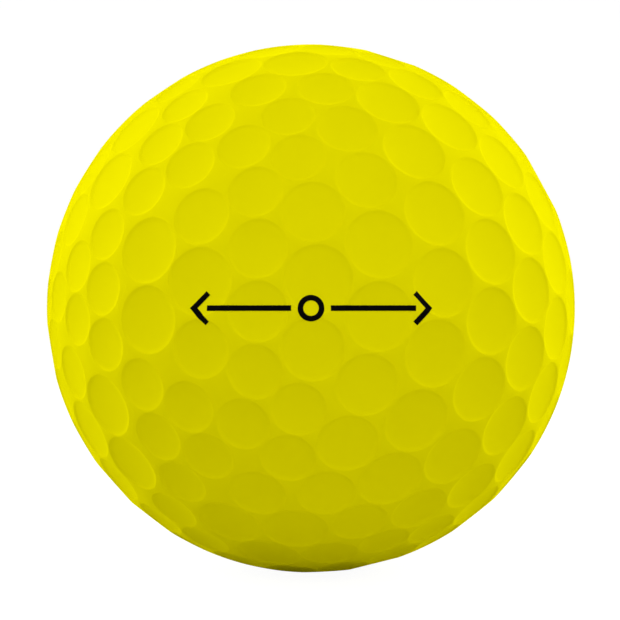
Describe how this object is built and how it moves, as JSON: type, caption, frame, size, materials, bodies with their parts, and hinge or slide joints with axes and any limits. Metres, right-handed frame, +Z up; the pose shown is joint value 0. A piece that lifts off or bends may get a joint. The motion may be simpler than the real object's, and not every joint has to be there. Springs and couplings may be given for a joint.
{
  "type": "golf ball",
  "caption": "Yellow golf ball: rubber core, mantle in two cups and a dimpled cover in two cups with a staggered parting line, all concentric.",
  "frame": {"origin": "centre of the ball", "axes": "-Y out of the printed side, +X along the printed line, +Z up across it; the dimple pattern's pole lies 3.5 degrees above the XY plane, 40.8 degrees from +X towards -Y"},
  "size_m": [0.0426, 0.0426, 0.0426],
  "materials": {
    "core_rubber": "matt moulded rubber",
    "mantle": "natural cream ionomer, satin",
    "cover": "saturated yellow ionomer under a satin clear coat",
    "mark_ink": "black pad-printed ink under the clear coat"
  },
  "bodies": {
    "root": {"core": "core_rubber", "mantle_cup_a": "mantle", "mantle_cup_b": "mantle", "cover_cup_a": "cover", "cover_cup_b": "cover"}
  },
  "joints": []
}
